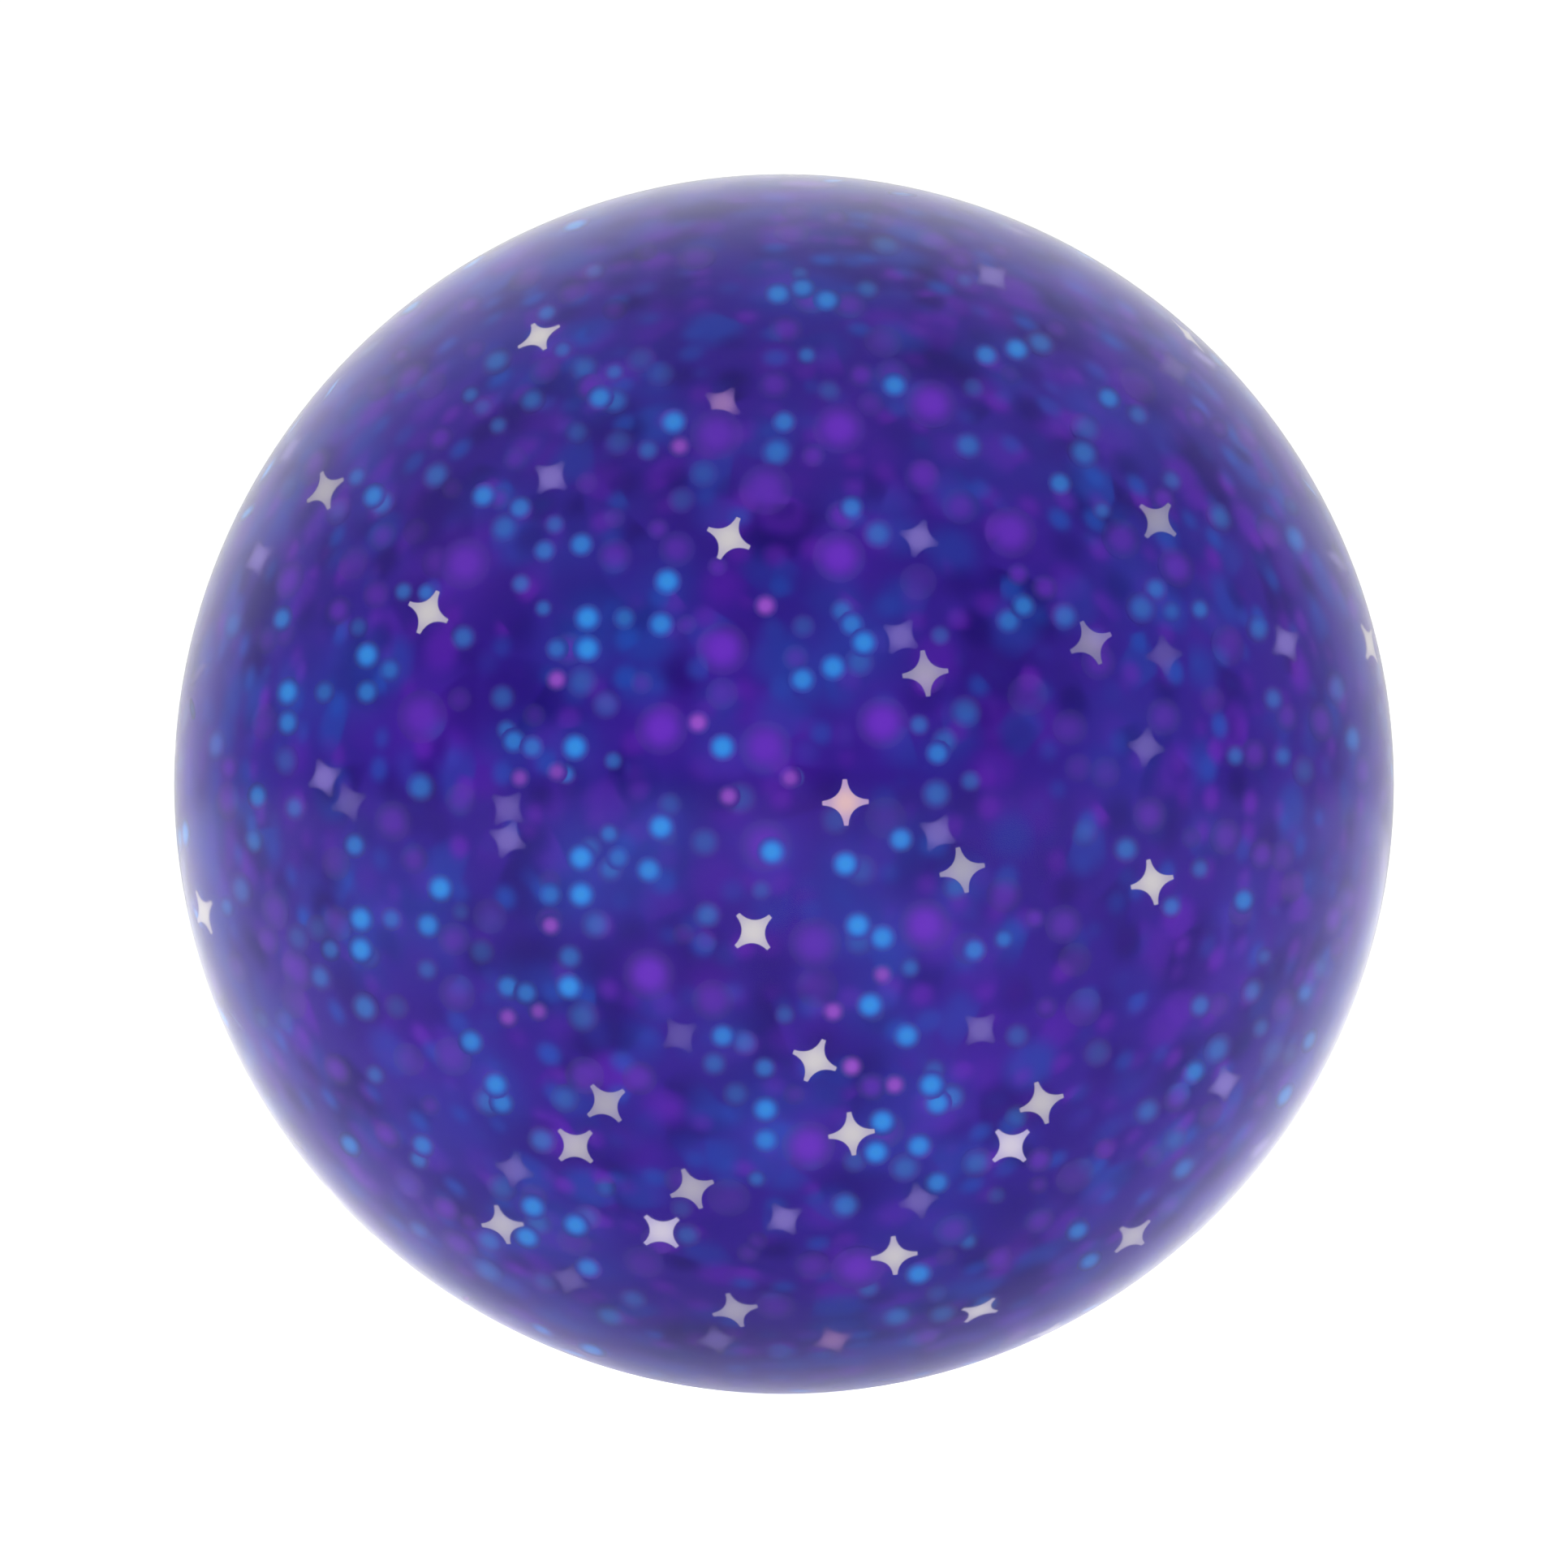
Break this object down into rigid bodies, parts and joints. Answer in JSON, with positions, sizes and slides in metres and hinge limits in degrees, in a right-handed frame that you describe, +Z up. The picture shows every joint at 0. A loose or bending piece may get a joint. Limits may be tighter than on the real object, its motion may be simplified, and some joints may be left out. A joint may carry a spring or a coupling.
{
  "type": "juggling ball",
  "caption": "Solid layered juggling ball: a clear skin over a violet tinted layer and a deep blue core, with star and dot confetti held between the layers.",
  "frame": {"origin": "centre of the ball", "axes": "+Z up; -Y towards the front, the side with the confetti of the named nodes; the two cups of each outer layer part in the XZ plane, so Y is the moulds' axis"},
  "size_m": [0.075, 0.075, 0.075],
  "materials": {
    "clear_rubber": "gloss",
    "tinted_rubber": "satin",
    "core_rubber": "satin",
    "silver_film": "satin",
    "rose_film": "satin",
    "violet_film": "satin",
    "azure_film": "satin",
    "pink_film": "satin"
  },
  "bodies": {
    "root": {"core": "core_rubber", "lower_rose_star_01": "rose_film", "lower_rose_star_02": "rose_film", "lower_star_01": "silver_film", "lower_star_02": "silver_film", "lower_star_03": "silver_film", "lower_star_04": "silver_film", "lower_star_05": "silver_film", "lower_star_06": "silver_film", "lower_star_07": "silver_film", "lower_star_08": "silver_film", "lower_star_09": "silver_film", "lower_star_10": "silver_film", "lower_star_11": "silver_film", "lower_star_12": "silver_film", "lower_star_13": "silver_film", "lower_star_14": "silver_film", "lower_star_15": "silver_film", "lower_star_16": "silver_film", "outer_skin_front": "clear_rubber", "outer_skin_rear": "clear_rubber", "tinted_layer_front": "tinted_rubber", "tinted_layer_rear": "tinted_rubber", "upper_rose_star_01": "rose_film", "upper_star_01": "silver_film", "upper_star_02": "silver_film", "upper_star_03": "silver_film", "upper_star_04": "silver_film", "upper_star_05": "silver_film", "upper_star_06": "silver_film", "upper_star_07": "silver_film", "upper_star_08": "silver_film", "upper_star_09": "silver_film", "upper_star_10": "silver_film", "upper_star_11": "silver_film", "upper_star_12": "silver_film", "upper_star_13": "silver_film", "upper_star_14": "silver_film", "upper_star_15": "silver_film", "upper_star_16": "silver_film", "upper_star_17": "silver_film", "upper_star_18": "silver_film", "upper_star_19": "silver_film", "upper_star_20": "silver_film", "upper_star_21": "silver_film", "upper_star_22": "silver_film", "upper_star_23": "silver_film", "upper_star_24": "silver_film", "upper_star_25": "silver_film", "violet_disc_01": "violet_film", "violet_disc_02": "violet_film", "violet_disc_03": "violet_film", "violet_disc_04": "violet_film", "violet_disc_05": "violet_film", "violet_disc_06": "violet_film", "violet_disc_07": "violet_film", "violet_disc_08": "violet_film", "violet_disc_09": "violet_film", "violet_disc_10": "violet_film"}
  },
  "joints": []
}
